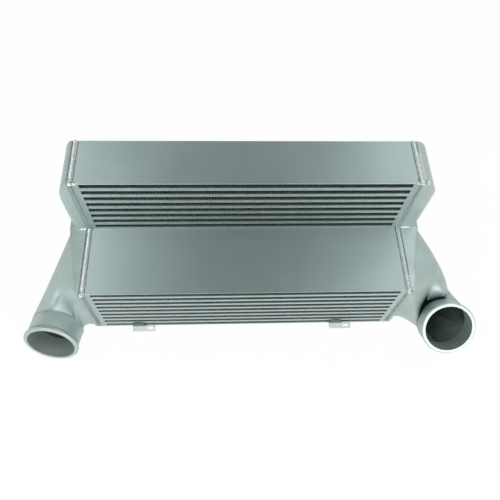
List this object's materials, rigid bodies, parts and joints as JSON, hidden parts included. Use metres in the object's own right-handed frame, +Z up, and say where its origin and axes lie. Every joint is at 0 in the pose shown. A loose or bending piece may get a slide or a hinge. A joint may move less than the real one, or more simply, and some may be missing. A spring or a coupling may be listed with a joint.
{
  "type": "intercooler",
  "caption": "Stepped bar-and-plate air-to-air intercooler with a deep lower and a shallow upper block, welded end tanks and round ports that face forward.",
  "frame": {"origin": "centre of the underside of the bottom plate", "axes": "+X along the core towards the right tank, +Y towards the flat back, so the step and the ports look to -Y, +Z up from the deep lower block to the shallow upper one"},
  "size_m": [0.7232, 0.2689, 0.2671],
  "materials": {
    "plate": "satin rolled sheet",
    "bar": "satin extruded bar",
    "fin": "thin folded strip",
    "casting": "fine blasted casting",
    "weld": "bright rippled weld"
  },
  "bodies": {
    "root": {"bottom_plate": "plate", "step_plate": "plate", "top_plate": "plate", "charge_tube_01": "bar", "turbulator_01": "fin", "charge_tube_02": "bar", "turbulator_02": "fin", "charge_tube_03": "bar", "turbulator_03": "fin", "charge_tube_04": "bar", "turbulator_04": "fin", "charge_tube_05": "bar", "turbulator_05": "fin", "charge_tube_06": "bar", "turbulator_06": "fin", "charge_tube_07": "bar", "turbulator_07": "fin", "charge_tube_08": "bar", "turbulator_08": "fin", "charge_tube_09": "bar", "turbulator_09": "fin", "charge_tube_10": "bar", "turbulator_10": "fin", "charge_tube_11": "bar", "turbulator_11": "fin", "charge_tube_12": "bar", "turbulator_12": "fin", "charge_tube_13": "bar", "turbulator_13": "fin", "charge_tube_14": "bar", "turbulator_14": "fin", "charge_tube_15": "bar", "turbulator_15": "fin", "charge_tube_16": "bar", "turbulator_16": "fin", "fin_row_01": "fin", "fin_row_02": "fin", "fin_row_03": "fin", "fin_row_04": "fin", "fin_row_05": "fin", "fin_row_06": "fin", "fin_row_07": "fin", "fin_row_08": "fin", "fin_row_09": "fin", "fin_row_10": "fin", "fin_row_11": "fin", "fin_row_12": "fin", "fin_row_13": "fin", "fin_row_14": "fin", "fin_row_15": "fin", "fin_row_16": "fin", "fin_row_17": "fin", "header_bars_left": "bar", "header_bars_right": "bar", "left_tank": "casting", "right_tank": "casting", "left_weld": "weld", "right_weld": "weld", "left_tab": "plate", "right_tab": "plate"}
  },
  "joints": []
}
